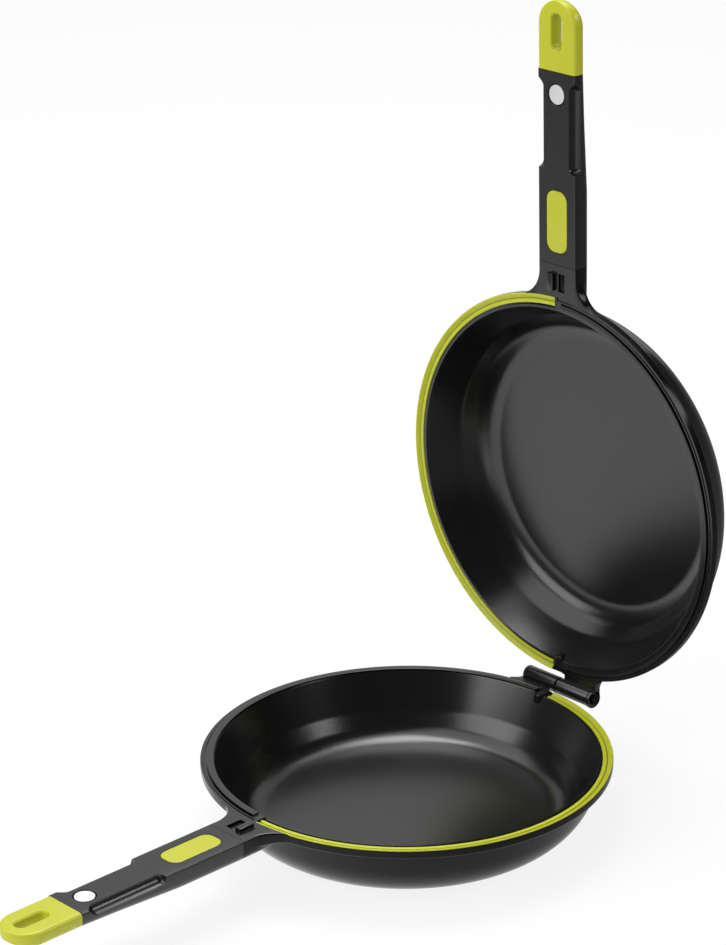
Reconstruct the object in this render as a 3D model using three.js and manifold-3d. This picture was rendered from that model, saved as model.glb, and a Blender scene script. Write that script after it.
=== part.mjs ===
// Double sided flip pan: two equal cast pans that share one hinge and close on each other.
// Millimetres, +Z up. The origin is the centre of the lower pan's base, the handle points along -X,
// and the hinge lies along Y. The upper pan is the same half turned over and opened about the hinge.
import * as THREE from 'three';
import { mergeVertices } from 'three/addons/utils/BufferGeometryUtils.js';
import Module from 'manifold-3d';

const wasm = await Module();
wasm.setup();

// Clearances
const fitGap = 0.3;
const closingGap = 0.3;
const overrun = 2;

// Pan bowl
const rimRadius = 130;
const rimLandWidth = 8.7;
const panDepth = 40;
const baseThickness = 6.5;
const midWallInset = 11.3;
const midWallDepth = 24;
const midWallRound = 12;
const lowerFlareDegrees = 36;
const floorFillet = 14;
const outerWallInset = 3.4;
const outerFlareDegrees = 20;
const bellyRound = 41;
const bellyFlatDegrees = 13;
const flangeHeight = 6.6;
const flangeUnderRound = 1.6;
const flangeEdgeRound = 0.6;
const flangeRootDepth = 11;
const openAngleDegrees = 89;

// Induction disc let into the base
const discMargin = 11.8;
const discThickness = 1.5;

// Raised tongue on one half of the rim
const tongueInset = 0.3;
const tongueWidth = 4.7;
const tongueRise = 1;
const tongueEdge = 0.4;
const tongueHandleStart = 4.2;
const tongueHingeStart = 4.4;

// Gasket channel on the other half of the rim, and the gasket in it
const channelInset = 1;
const channelDepth = 2.8;
const channelHandleStart = 1.7;
const channelHingeStart = 3.8;
const gasketGap = 1.1;
const gasketOuterInset = 0.2;
const gasketHandleStart = 2;
const gasketHingeStart = 5.6;
const outerLipWidth = 2.2;
const innerLipWidth = 2.6;
const lipRound = 0.5;
const valleyDepth = 0.8;
const keyWidth = 1.4;
const keyDepth = 1.5;
const keyInset = 1.5;

// Plug between gasket and tongue at the hinge
const plugWidth = 7;
const plugReach = 3.1;
const plugHeight = 5.6;
const plugSink = 0.3;

// Hinge
const hingeOffset = 9;
const knuckleRadius = 5.5;
const knuckleGap = 0.25;
const hingeSplit = 1.6;
const lowerKnuckleEnd = 27;
const upperKnuckleEnd = 30.2;
const earLength = 2.2;
const earRadius = 6;
const knuckleEdge = 0.8;
const webThickness = 4.6;
const webSink = 0.6;
const webInnerStart = 5.4;
const webKnuckleStart = 5.2;
const webFlare = 3;
const webFlareLength = 6;
const pinRadius = 2;
const pinHeadRadius = 3.4;
const pinHeadLength = 1.4;
const pinEndProud = 0.5;
const stopInnerRadius = 2.9;
const stopWidth = 1.4;
const stopHeight = 1.6;
const stopStartDegrees = 60;
const stopSweepDegrees = 60;
const stopSlackDegrees = 5;

// Cast neck and the tang that runs inside the grip
const faceSink = 0.25;
const neckLength = 21.5;
const gripHalfWidth = 15.8;
const gripDepth = 14.5;
const gripRound = 6;
const gripEdge = 1.4;
const neckRootOverlap = 8;
const neckRootDepth = 12.5;
const neckFillet = 20;
const flareDepth = 6.3;
const flareSteps = 7;
const tangMargin = 12.3;
const tangHalfWidth = 7.5;
const tangThickness = 4.2;
const tangSink = 7.3;

// Locating lug and the pocket that takes the other half's lug
const lugClearance = 4.5;
const lugLength = 11.5;
const lugWidth = 4.7;
const lugOffset = 1.6;
const lugHeight = 2.2;

// Grip
const gripLength = 124;
const gripEndDepth = 10.3;
const scoopOffset = 61;
const scoopLength = 58.5;
const scoopBlend = 7;
const scoopRadius = 5.5;
const stubLength = 8.5;
const stubHalfWidth = 9;
const stubThickness = 5.2;
const stubSink = 2.8;

// Lime pad on the grip's face and the two screws under it
const padOffset = 28.2;
const padLength = 40;
const padWidth = 17;
const padCorner = 6.5;
const padThickness = 2.1;
const padSink = 0.15;
const screwSpacing = 22;
const screwRadius = 2;
const screwHeadRadius = 3.6;
const screwHeadHeight = 2;
const screwSlotWidth = 0.9;
const screwSlotDepth = 0.8;
const screwTipInset = 0.4;

// Magnet
const magnetInset = 14.2;
const magnetRadius = 6.25;
const magnetThickness = 4;
const magnetSink = 0.4;
const magnetRing = 0.6;

// End cap and its hanging slot
const capLength = 44.5;
const tipLength = 15.5;
const tipDepth = 5.5;
const tipSteps = 7;
const tipSweepDegrees = 83;
const capEdge = 2.4;
const slotStartInset = 13.5;
const slotTipInset = 8.2;
const slotHalfWidth = 4;
const slotEndRound = 3.9;

// Facets
const rimSteps = 60;
const filletSteps = 5;
const roundSteps = 3;
const edgeSteps = 2;
const smallSteps = 20;

// Places worked out from the sizes above
const panHeight = panDepth + baseThickness;
const hingeDistance = rimRadius + hingeOffset;
const innerRimRadius = rimRadius - rimLandWidth;
const midWallRadius = innerRimRadius - midWallInset;
const landSink = closingGap / 2;
const innerEdgeSink = tongueRise + closingGap;
const outerFlare = THREE.MathUtils.degToRad(outerFlareDegrees);
const lowerFlare = THREE.MathUtils.degToRad(lowerFlareDegrees);
const upperFlare = Math.atan2(midWallInset, midWallDepth);
const upperFlareDegrees = THREE.MathUtils.radToDeg(upperFlare);
const bellyFlat = THREE.MathUtils.degToRad(bellyFlatDegrees);
const bellyCentreDepth = panHeight - bellyRound * Math.cos(bellyFlat);
const bellyCentreRadius = outerWallRadius(bellyCentreDepth) - bellyRound / Math.cos(outerFlare);
const discRadius = bellyCentreRadius + bellyRound * Math.sin(bellyFlat) - discMargin;
const neckRootDistance = rimRadius - neckRootOverlap;
const seamDistance = rimRadius + neckLength;
const padCentre = seamDistance + padOffset;
const tangLength = padOffset + screwSpacing / 2 + tangMargin;
const lugStart = rimRadius + lugClearance;
const scoopStart = seamDistance + scoopOffset;
const scoopEnd = scoopStart + scoopLength;
const gripEndDistance = seamDistance + gripLength;
const magnetCentre = gripEndDistance - magnetInset;
const tipDistance = gripEndDistance + capLength;
const slotStart = gripEndDistance + slotStartInset;
const slotEnd = tipDistance - slotTipInset;
const channelInner = innerRimRadius + channelInset;
const gasketInner = channelInner + gasketGap;
const gasketOuter = rimRadius - gasketOuterInset;
const upperHingeEnd = upperKnuckleEnd + earLength;
const seatSink = padSink + padThickness + fitGap;
const headPocketSink = seatSink + screwHeadHeight + 2 * fitGap;

const materials = {
  casting: new THREE.MeshStandardMaterial({ color: '#3a3c3b', roughness: 0.45, metalness: 0.3 }),
  grip: new THREE.MeshStandardMaterial({ color: '#353733', roughness: 0.5, metalness: 0 }),
  lime: new THREE.MeshStandardMaterial({ color: '#c8cc46', roughness: 0.45, metalness: 0 }),
  plug: new THREE.MeshStandardMaterial({ color: '#1d1f1e', roughness: 0.7, metalness: 0 }),
  steel: new THREE.MeshStandardMaterial({ color: '#b9bbbb', roughness: 0.35, metalness: 1 }),
  magnet: new THREE.MeshStandardMaterial({ color: '#e4e5e5', roughness: 0.2, metalness: 1 }),
};

// Joining and cutting

function signedVolume(positions, triangles) {
  const corners = [new THREE.Vector3(), new THREE.Vector3(), new THREE.Vector3()];
  let volume = 0;
  for (let i = 0; i < triangles.length; i += 3) {
    corners.forEach((corner, k) => corner.fromArray(positions, 3 * triangles[i + k]));
    volume += corners[0].dot(corners[1].clone().cross(corners[2])) / 6;
  }
  return volume;
}

// A closed geometry as a solid with its faces pointing out
function solid(geometry) {
  geometry.deleteAttribute('normal');
  geometry.deleteAttribute('uv');
  const merged = mergeVertices(geometry, fitGap / 1000);
  const vertProperties = Float32Array.from(merged.attributes.position.array);
  const triVerts = Uint32Array.from(merged.index.array);
  if (signedVolume(vertProperties, triVerts) < 0) triVerts.reverse();
  return new wasm.Manifold(new wasm.Mesh({ numProp: 3, vertProperties, triVerts }));
}

function join(first, ...others) {
  return others.reduce((whole, piece) => whole.add(piece), first);
}

function cut(first, ...others) {
  return others.reduce((whole, piece) => whole.subtract(piece), first);
}

function piece(name, body, material) {
  const { vertProperties, triVerts } = body.getMesh();
  const geometry = new THREE.BufferGeometry();
  geometry.setAttribute('position', new THREE.BufferAttribute(vertProperties, 3));
  geometry.setIndex(new THREE.BufferAttribute(triVerts, 1));
  const flat = geometry.toNonIndexed();
  flat.computeVertexNormals();
  const mesh = new THREE.Mesh(flat, material);
  mesh.name = name;
  return mesh;
}

// Basic forms

function block(xMin, xMax, yMin, yMax, zMin, zMax) {
  const geometry = new THREE.BoxGeometry(xMax - xMin, yMax - yMin, zMax - zMin);
  geometry.translate((xMin + xMax) / 2, (yMin + yMax) / 2, (zMin + zMax) / 2);
  return solid(geometry);
}

// A profile of [radius, height] points turned about Z
function turned(profile, steps = rimSteps) {
  const points = profile.map(([radius, height]) => new THREE.Vector2(radius, height));
  return solid(new THREE.LatheGeometry(points, steps).rotateX(Math.PI / 2));
}

// A closed ring section turned about Z
function turnedRing(profile, steps = rimSteps) {
  return turned([...profile, profile[0]], steps);
}

function uprightRod(x, y, radius, zMin, zMax, steps = smallSteps) {
  const geometry = new THREE.CylinderGeometry(radius, radius, zMax - zMin, steps);
  geometry.rotateX(Math.PI / 2).translate(x, y, (zMin + zMax) / 2);
  return solid(geometry);
}

// A rod along the hinge line
function hingeRod(radius, yMin, yMax, steps = smallSteps) {
  const geometry = new THREE.CylinderGeometry(radius, radius, yMax - yMin, steps);
  geometry.translate(hingeDistance, (yMin + yMax) / 2, 0);
  return solid(geometry);
}

// An outline of [x, y] points, upright between two heights
function prism(outline, zMin, zMax) {
  const shape = new THREE.Shape(outline.map(([x, y]) => new THREE.Vector2(x, y)));
  const geometry = new THREE.ExtrudeGeometry(shape, { depth: zMax - zMin, bevelEnabled: false });
  return solid(geometry.translate(0, 0, zMin));
}

// Points on an arc, both ends included
function arc(centreX, centreY, radius, fromDegrees, toDegrees, steps) {
  return Array.from({ length: steps + 1 }, (_, i) => {
    const angle = THREE.MathUtils.degToRad(fromDegrees + ((toDegrees - fromDegrees) * i) / steps);
    return [centreX + radius * Math.cos(angle), centreY + radius * Math.sin(angle)];
  });
}

function roundedRectangle(centreX, length, width, corner) {
  const x = length / 2 - corner;
  const y = width / 2 - corner;
  return [
    ...arc(centreX + x, y, corner, 0, 90, filletSteps),
    ...arc(centreX - x, y, corner, 90, 180, filletSteps),
    ...arc(centreX - x, -y, corner, 180, 270, filletSteps),
    ...arc(centreX + x, -y, corner, 270, 360, filletSteps),
  ];
}

// Everything on one side of the pan's long axis, starting at different places at handle and hinge
function sideRegion(side, handleStart, hingeStart) {
  const reach = 2 * rimRadius;
  const handlePart = side < 0
    ? block(-reach, 0, -reach, -handleStart, -reach, reach)
    : block(-reach, 0, handleStart, reach, -reach, reach);
  const hingePart = side < 0
    ? block(-overrun, reach, -reach, -hingeStart, -reach, reach)
    : block(-overrun, reach, hingeStart, reach, -reach, reach);
  return join(handlePart, hingePart);
}

// One station of the neck, grip or cap: a flat face on top and rounded corners below
function station(distance, halfWidth, depth, round = gripRound, edge = gripEdge) {
  const corner = Math.min(round, halfWidth - edge, depth / 2);
  const rightSide = [
    [halfWidth - edge, -faceSink],
    [halfWidth, -faceSink - edge],
    ...arc(halfWidth - corner, corner - depth, corner, 0, -90, roundSteps),
  ];
  const leftSide = rightSide.map(([y, z]) => [-y, z]).reverse();
  return { x: -distance, ring: [...rightSide, ...leftSide] };
}

// A skin over the stations, closed at both ends
function loft(stations) {
  const count = stations[0].ring.length;
  const positions = stations.flatMap(({ x, ring }) => ring.flatMap(([y, z]) => [x, y, z]));
  const triangles = [];
  for (let s = 0; s + 1 < stations.length; s += 1) {
    for (let i = 0; i < count; i += 1) {
      const a = s * count + i;
      const b = s * count + ((i + 1) % count);
      triangles.push(a, b, b + count, a, b + count, a + count);
    }
  }
  const contour = stations[0].ring.map(([y, z]) => new THREE.Vector2(y, z));
  const lastContour = stations.at(-1).ring.map(([y, z]) => new THREE.Vector2(y, z));
  const lastStart = (stations.length - 1) * count;
  const turnsLeft = THREE.ShapeUtils.area(contour) > 0;
  for (const [i, j, k] of THREE.ShapeUtils.triangulateShape(contour, [])) {
    triangles.push(...(turnsLeft ? [i, k, j] : [i, j, k]));
  }
  for (const [i, j, k] of THREE.ShapeUtils.triangulateShape(lastContour, [])) {
    const corners = turnsLeft ? [i, j, k] : [i, k, j];
    triangles.push(...corners.map((corner) => corner + lastStart));
  }
  const geometry = new THREE.BufferGeometry();
  geometry.setAttribute('position', new THREE.Float32BufferAttribute(positions, 3));
  geometry.setIndex(triangles);
  return solid(geometry);
}

// Grip depth at a distance from the pan's centre: full to the pad, then tapering to the cap
function depthAt(distance) {
  const taperStart = padCentre + padLength / 2;
  const along = THREE.MathUtils.clamp((distance - taperStart) / (gripEndDistance - taperStart), 0, 1);
  return THREE.MathUtils.lerp(gripDepth, gripEndDepth, along);
}

// The pan casting

// Radius of the outer wall at a depth below the parting plane
function outerWallRadius(depth) {
  return rimRadius - outerWallInset - depth * Math.tan(outerFlare);
}

// The belly is one arc that meets the base at a shallow angle and runs into the flared wall
function bowlOutside() {
  const bellyStart = bellyFlatDegrees - 90;
  const recess = discRadius + fitGap;
  const recessHeight = discThickness + fitGap - panHeight;
  const underX = rimRadius - flangeUnderRound;
  return turned([
    [0, recessHeight],
    [recess, recessHeight],
    [recess, -panHeight],
    ...arc(bellyCentreRadius, -bellyCentreDepth, bellyRound, bellyStart, -outerFlareDegrees, filletSteps + 1),
    [outerWallRadius(flangeRootDepth), -flangeRootDepth],
    ...arc(underX, flangeUnderRound - flangeHeight, flangeUnderRound, -90, 0, edgeSteps),
    ...arc(rimRadius - flangeEdgeRound, -landSink - flangeEdgeRound, flangeEdgeRound, 0, 90, edgeSteps),
    [0, -landSink],
  ]);
}

// The floor's fillet, a lower wall, a soft bend at mid wall and a steeper upper wall
function bowlInside() {
  const wallAtFloor = midWallRadius - (panDepth - midWallDepth) * Math.tan(lowerFlare);
  const centre = wallAtFloor - floorFillet * Math.tan((Math.PI / 2 - lowerFlare) / 2);
  const bendTurn = THREE.MathUtils.degToRad(lowerFlareDegrees - upperFlareDegrees) / 2;
  const bendMiddle = THREE.MathUtils.degToRad(-lowerFlareDegrees) + bendTurn;
  const bendReach = midWallRound / Math.cos(bendTurn);
  const bendX = midWallRadius - bendReach * Math.cos(bendMiddle);
  const bendZ = -midWallDepth - bendReach * Math.sin(bendMiddle);
  return turned([
    [0, -panDepth],
    ...arc(centre, floorFillet - panDepth, floorFillet, -90, -lowerFlareDegrees, filletSteps),
    ...arc(bendX, bendZ, midWallRound, -lowerFlareDegrees, -upperFlareDegrees, edgeSteps),
    [innerRimRadius, 0],
    [innerRimRadius, tongueRise + overrun],
    [0, tongueRise + overrun],
  ]);
}

function tongue() {
  const inner = innerRimRadius + tongueInset;
  const outer = inner + tongueWidth;
  const ring = turnedRing([
    [inner, -channelDepth],
    [outer, -channelDepth],
    [outer, tongueRise - tongueEdge],
    [outer - tongueEdge, tongueRise],
    [inner + tongueEdge, tongueRise],
    [inner, tongueRise - tongueEdge],
  ]);
  return ring.intersect(sideRegion(1, tongueHandleStart, tongueHingeStart));
}

function gasketChannel() {
  const keyInner = gasketInner + keyInset - fitGap;
  const keyOuter = keyInner + keyWidth + 2 * fitGap;
  const ring = turnedRing([
    [channelInner, -channelDepth],
    [keyInner, -channelDepth],
    [keyInner, -channelDepth - keyDepth],
    [keyOuter, -channelDepth - keyDepth],
    [keyOuter, -channelDepth],
    [gasketOuter + fitGap, -channelDepth],
    [gasketOuter + fitGap, overrun],
    [innerRimRadius - overrun, overrun],
    [innerRimRadius - overrun, -innerEdgeSink],
    [channelInner, -innerEdgeSink],
  ]);
  return ring.intersect(sideRegion(-1, channelHandleStart, channelHingeStart));
}

function plugOutline(grow) {
  const half = plugWidth / 2 + grow;
  const tipCentre = innerRimRadius - plugReach + plugWidth / 2;
  return [
    [rimRadius - fitGap + grow, -half],
    [rimRadius - fitGap + grow, half],
    ...arc(tipCentre, 0, half, 90, 270, 2 * filletSteps),
  ];
}

// A straight beam, and a thinner plate on its face that runs in a fillet into the flange
function neck() {
  const beam = loft([
    station(seamDistance, gripHalfWidth, gripDepth),
    station(neckRootDistance - overrun, gripHalfWidth, neckRootDepth),
  ]);
  const reach = rimRadius + neckFillet;
  const filletDistance = Math.sqrt(reach ** 2 - (gripHalfWidth + neckFillet) ** 2);
  const sweep = Math.atan2(filletDistance, gripHalfWidth + neckFillet);
  const stations = [];
  for (let i = 0; i <= flareSteps; i += 1) {
    const angle = (sweep * i) / flareSteps;
    const halfWidth = gripHalfWidth + neckFillet * (1 - Math.cos(angle));
    const depth = THREE.MathUtils.lerp(gripDepth, flareDepth, i / flareSteps);
    stations.push(station(filletDistance - neckFillet * Math.sin(angle), halfWidth, depth));
  }
  const { ring } = stations.at(-1);
  stations.push({ x: -neckRootDistance, ring });
  return join(beam, loft(stations.reverse()));
}

function tang(grow) {
  const start = seamDistance - overrun - grow;
  return block(
    -seamDistance - tangLength - grow,
    -start,
    -tangHalfWidth - grow,
    tangHalfWidth + grow,
    -tangSink - tangThickness - grow,
    -tangSink + grow,
  );
}

function lug() {
  return block(
    -lugStart - lugLength,
    -lugStart,
    -lugOffset - lugWidth,
    -lugOffset,
    -faceSink - lugHeight,
    lugHeight,
  );
}

function lugPocket() {
  return block(
    -lugStart - lugLength - fitGap,
    -lugStart + fitGap,
    lugOffset - fitGap,
    lugOffset + lugWidth + fitGap,
    -lugHeight - fitGap,
    overrun,
  );
}

function hingeWeb(end) {
  const root = channelInner;
  const outline = [
    [root, webInnerStart],
    [rimRadius + fitGap, webInnerStart],
    [hingeDistance - knuckleRadius, webKnuckleStart],
    [hingeDistance, webKnuckleStart],
    [hingeDistance, end],
    [hingeDistance - knuckleRadius, end],
    [hingeDistance - knuckleRadius - webFlareLength, end + webFlare],
    [root, end + webFlare],
  ];
  return prism(outline, -webSink - webThickness, -webSink);
}

// A sector of a ring about the hinge line; angles run from +X towards +Z
function stopSector(innerRadius, outerRadius, fromDegrees, toDegrees, yMin, yMax) {
  const steps = 2 * filletSteps;
  const outline = [
    ...arc(0, 0, outerRadius, fromDegrees, toDegrees, steps),
    ...arc(0, 0, innerRadius, toDegrees, fromDegrees, steps),
  ];
  const shape = new THREE.Shape(outline.map(([x, z]) => new THREE.Vector2(x, z)));
  const geometry = new THREE.ExtrudeGeometry(shape, { depth: yMax - yMin, bevelEnabled: false });
  geometry.rotateX(Math.PI / 2).translate(hingeDistance, yMax, 0);
  return solid(geometry);
}

// The tooth on this half's knuckle stops the swing inside the other half's recess
function stopTooth(split) {
  const outer = stopInnerRadius + stopWidth;
  const end = stopStartDegrees + stopSweepDegrees;
  const face = split + knuckleGap;
  return stopSector(stopInnerRadius, outer, stopStartDegrees, end, face - stopHeight, face + stopHeight);
}

function stopRecess(split) {
  const outer = stopInnerRadius + stopWidth + fitGap;
  const from = -stopStartDegrees - stopSweepDegrees - stopSlackDegrees - openAngleDegrees;
  const to = -stopStartDegrees + stopSlackDegrees;
  const bottom = split + stopHeight - knuckleGap + fitGap;
  return stopSector(stopInnerRadius - fitGap, outer, from, to, split - stopHeight, bottom);
}

// A barrel from the split to its end with a broken edge; an ear, where there is one, closes it
function knuckle(split, end, ear) {
  const barrel = join(
    hingeRod(knuckleRadius, split + knuckleGap, end - knuckleEdge),
    hingeRod(knuckleRadius - knuckleEdge / 2, split + knuckleGap, end),
  );
  return ear > 0 ? join(barrel, hingeRod(earRadius, end - knuckleEdge, end + ear)) : barrel;
}

function screwPlaces() {
  return [padCentre + screwSpacing / 2, padCentre - screwSpacing / 2];
}

function panBody({ split, end, ear }) {
  const barrel = knuckle(split, end, ear);
  const blank = join(bowlOutside(), tongue(), neck(), tang(0), lug(), hingeWeb(end + ear), barrel);
  const casting = join(cut(blank, stopRecess(split)), stopTooth(split));
  const screwHoles = screwPlaces().map((distance) => uprightRod(
    -distance, 0, screwRadius + fitGap, -gripDepth, 0,
  ));
  return cut(
    casting,
    bowlInside(),
    gasketChannel(),
    prism(plugOutline(fitGap), -plugSink - plugHeight - fitGap, overrun),
    lugPocket(),
    hingeRod(pinRadius + fitGap, split - stopHeight - overrun, end + ear + overrun),
    ...screwHoles,
  );
}

// Sealing parts on the rim

function rimGasket() {
  const bottom = fitGap - channelDepth;
  const outerTop = -landSink - fitGap / 2;
  const innerTop = -innerEdgeSink;
  const valley = innerTop - valleyDepth;
  const keyInner = gasketInner + keyInset;
  const outerLipInner = gasketOuter - outerLipWidth;
  const innerLipOuter = gasketInner + innerLipWidth;
  const ring = turnedRing([
    [gasketInner, bottom],
    [keyInner, bottom],
    [keyInner, bottom - keyDepth],
    [keyInner + keyWidth, bottom - keyDepth],
    [keyInner + keyWidth, bottom],
    [gasketOuter, bottom],
    [gasketOuter, outerTop - lipRound],
    [gasketOuter - lipRound, outerTop],
    [outerLipInner + lipRound, outerTop],
    [outerLipInner, outerTop - lipRound],
    [outerLipInner, valley],
    [innerLipOuter, valley],
    [innerLipOuter - lipRound, innerTop],
    [gasketInner + lipRound, innerTop],
    [gasketInner, innerTop - lipRound],
  ]);
  return ring.intersect(sideRegion(-1, gasketHandleStart, gasketHingeStart));
}

function rimPlug() {
  return prism(plugOutline(0), -plugSink - plugHeight, -plugSink);
}

function baseDisc() {
  return uprightRod(0, 0, discRadius, -panHeight, discThickness - panHeight, rimSteps);
}

// The handle

// A spindle along X that hollows the grip's upper edge for the fingers
function fingerScoop(side) {
  const profile = [[0, scoopStart]];
  for (let i = 1; i <= filletSteps; i += 1) {
    const share = i / filletSteps;
    profile.push([scoopRadius * Math.sin((Math.PI / 2) * share), scoopStart + scoopBlend * share]);
  }
  for (let i = filletSteps; i >= 1; i -= 1) {
    const share = i / filletSteps;
    profile.push([scoopRadius * Math.sin((Math.PI / 2) * share), scoopEnd - scoopBlend * share]);
  }
  profile.push([0, scoopEnd]);
  const points = profile.map(([radius, height]) => new THREE.Vector2(radius, height));
  const geometry = new THREE.LatheGeometry(points, smallSteps).rotateZ(Math.PI / 2);
  return solid(geometry.translate(0, side * gripHalfWidth, 0));
}

function stub(grow) {
  return block(
    -gripEndDistance - stubLength - grow,
    -gripEndDistance + overrun,
    -stubHalfWidth - grow,
    stubHalfWidth + grow,
    -stubSink - stubThickness - grow,
    -stubSink + grow,
  );
}

function handleGrip() {
  const distances = [
    seamDistance + fitGap,
    padCentre + padLength / 2,
    (scoopStart + scoopEnd) / 2,
    gripEndDistance,
  ];
  const shell = loft(distances.map((distance) => station(distance, gripHalfWidth, depthAt(distance))));
  const screwWays = screwPlaces().flatMap((distance) => [
    uprightRod(-distance, 0, screwHeadRadius + fitGap, -headPocketSink, 0),
    uprightRod(-distance, 0, screwRadius + fitGap, -tangSink - fitGap, 0),
  ]);
  const padOutline = roundedRectangle(
    -padCentre, padLength + 2 * fitGap, padWidth + 2 * fitGap, padCorner + fitGap,
  );
  return cut(
    join(shell, stub(0)),
    tang(fitGap),
    prism(padOutline, -seatSink, overrun),
    uprightRod(
      -magnetCentre, 0, magnetRadius + magnetRing, -magnetSink - magnetThickness - fitGap, overrun,
    ),
    fingerScoop(1),
    fingerScoop(-1),
    ...screwWays,
  );
}

function padInsert() {
  const outline = roundedRectangle(-padCentre, padLength, padWidth, padCorner);
  return prism(outline, -padSink - padThickness, -padSink);
}

function gripScrew(distance) {
  const headTop = -seatSink - fitGap;
  const headBottom = headTop - screwHeadHeight;
  const tip = screwTipInset - tangSink - tangThickness;
  const profile = [
    [0, tip],
    [screwRadius, tip],
    [screwRadius, headBottom],
    [screwHeadRadius, headBottom],
    [screwHeadRadius, headTop],
    [0, headTop],
  ];
  const slot = block(
    -screwHeadRadius - fitGap,
    screwHeadRadius + fitGap,
    -screwSlotWidth / 2,
    screwSlotWidth / 2,
    headTop - screwSlotDepth,
    headTop + overrun,
  );
  return cut(turned(profile, smallSteps), slot).translate([-distance, 0, 0]);
}

function magnet() {
  return uprightRod(-magnetCentre, 0, magnetRadius, -magnetSink - magnetThickness, -magnetSink);
}

function endCap() {
  const start = gripEndDistance + fitGap;
  const roundStart = tipDistance - tipLength;
  const stations = [start, slotStart].map((distance) => station(
    distance, gripHalfWidth, gripEndDepth, gripRound, capEdge,
  ));
  for (let i = 0; i <= tipSteps; i += 1) {
    const angle = (i / tipSteps) * THREE.MathUtils.degToRad(tipSweepDegrees);
    const distance = roundStart + tipLength * Math.sin(angle);
    const halfWidth = gripHalfWidth * Math.cos(angle);
    const depth = THREE.MathUtils.lerp(tipDepth, gripEndDepth, Math.cos(angle));
    const edge = Math.min(capEdge, halfWidth / 2);
    stations.push(station(distance, halfWidth, depth, gripRound, edge));
  }
  const slotOutline = roundedRectangle(
    -(slotStart + slotEnd) / 2, slotEnd - slotStart, 2 * slotHalfWidth, slotEndRound,
  );
  return cut(loft(stations), stub(fitGap), prism(slotOutline, -gripDepth - overrun, overrun));
}

// Assembly

function hingePin() {
  const start = -upperHingeEnd - fitGap;
  const shank = hingeRod(pinRadius, start - pinHeadLength / 2, lowerKnuckleEnd + pinEndProud);
  const head = hingeRod(pinHeadRadius, start - pinHeadLength, start);
  return join(shank, head);
}

// One half, drawn with its parting plane at z = 0
function half(prefix, hinge) {
  const [rearScrew, frontScrew] = screwPlaces();
  const group = new THREE.Group();
  group.add(
    piece(`${prefix}_pan_body`, panBody(hinge), materials.casting),
    piece(`${prefix}_base_disc`, baseDisc(), materials.steel),
    piece(`${prefix}_rim_gasket`, rimGasket(), materials.lime),
    piece(`${prefix}_rim_plug`, rimPlug(), materials.plug),
    piece(`${prefix}_handle_grip`, handleGrip(), materials.grip),
    piece(`${prefix}_pad_insert`, padInsert(), materials.lime),
    piece(`${prefix}_grip_screw_front`, gripScrew(frontScrew), materials.steel),
    piece(`${prefix}_grip_screw_rear`, gripScrew(rearScrew), materials.steel),
    piece(`${prefix}_magnet`, magnet(), materials.magnet),
    piece(`${prefix}_end_cap`, endCap(), materials.lime),
  );
  return group;
}

const lowerHalf = half('lower', { split: -hingeSplit, end: lowerKnuckleEnd, ear: 0 });
lowerHalf.position.z = panHeight;

// The upper half is turned over about X, then swung open about the hinge line
const upperHalf = half('upper', { split: hingeSplit, end: upperKnuckleEnd, ear: earLength });
upperHalf.rotation.x = Math.PI;
upperHalf.position.x = -hingeDistance;
const swing = new THREE.Group();
swing.position.set(hingeDistance, 0, panHeight);
swing.rotation.y = THREE.MathUtils.degToRad(openAngleDegrees);
swing.add(upperHalf);

const pin = piece('hinge_pin', hingePin(), materials.steel);
pin.position.z = panHeight;

const group = new THREE.Group();
group.add(lowerHalf, swing, pin);

export default group;
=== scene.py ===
import math

import bmesh
import bpy
from mathutils import Matrix, Vector


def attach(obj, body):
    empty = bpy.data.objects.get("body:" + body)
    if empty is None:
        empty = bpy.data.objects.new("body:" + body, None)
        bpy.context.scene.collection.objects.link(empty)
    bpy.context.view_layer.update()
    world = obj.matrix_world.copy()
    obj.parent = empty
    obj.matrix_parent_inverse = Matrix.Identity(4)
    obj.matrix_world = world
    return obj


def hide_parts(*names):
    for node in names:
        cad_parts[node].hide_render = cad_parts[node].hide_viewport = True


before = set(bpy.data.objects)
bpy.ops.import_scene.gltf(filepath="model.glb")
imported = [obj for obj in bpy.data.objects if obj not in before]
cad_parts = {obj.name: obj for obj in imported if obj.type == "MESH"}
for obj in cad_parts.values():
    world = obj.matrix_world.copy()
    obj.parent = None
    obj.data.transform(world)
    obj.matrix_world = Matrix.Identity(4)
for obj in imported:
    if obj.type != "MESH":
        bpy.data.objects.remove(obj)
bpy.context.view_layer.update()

# The two pan castings. Each is one piece of cast aluminium: bowl, rim, neck, tang and half of the
# hinge barrel. It is sprayed with a charcoal non-stick coat inside, on the rim and at the hinge,
# and gloss black outside. Half of the rim has a raised tongue, the other half a gasket channel.
clearance = 0.3
pan_height = 46.5
pan_depth = 40.0
rim_radius = 130.0
bowl_radius = 121.3
bend_radius = 110.0
bend_depth = 24.0
lower_flare = 36.0
wall_bend = 20.0
bowl_fillet = 20.0
belly_round = 41.0
base_slope = 13.0
wall_slope = 20.0
wall_setback = 3.4
skirt_depth = 11.0
flange_bottom_z = -6.6
flange_round = 1.6
rim_edge_round = 0.6
disc_radius = 78.0
disc_thickness = 1.5
seat_chamfer = 0.3
face_z = -0.25
land_z = -0.15
bowl_edge_z = -1.3
tongue_width = 4.7
tongue_height = 1.0
tongue_round = 0.4
channel_floor_z = -2.8
channel_inner = 122.3
gasket_inner = 123.4
gasket_outer = 129.8
key_in = gasket_inner + 1.5
key_width = 1.4
key_seat_z = -4.3
ledge_width = 0.9
ledge_z = -1.35
step_in = 128.1
step_z = -0.75
hinge_x = 139.0
barrel_radius = 5.5
ear_radius = 6.0
pin_radius = 2.0
open_degrees = 89.0
web_top_z = -0.6
web_bottom_z = -5.2
web_sweep = 6.0
seam_distance = 151.5
neck_reach = 31.5
neck_thinning = 0.3
neck_fillet = 20.0
fillet_end_depth = 6.3
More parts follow.
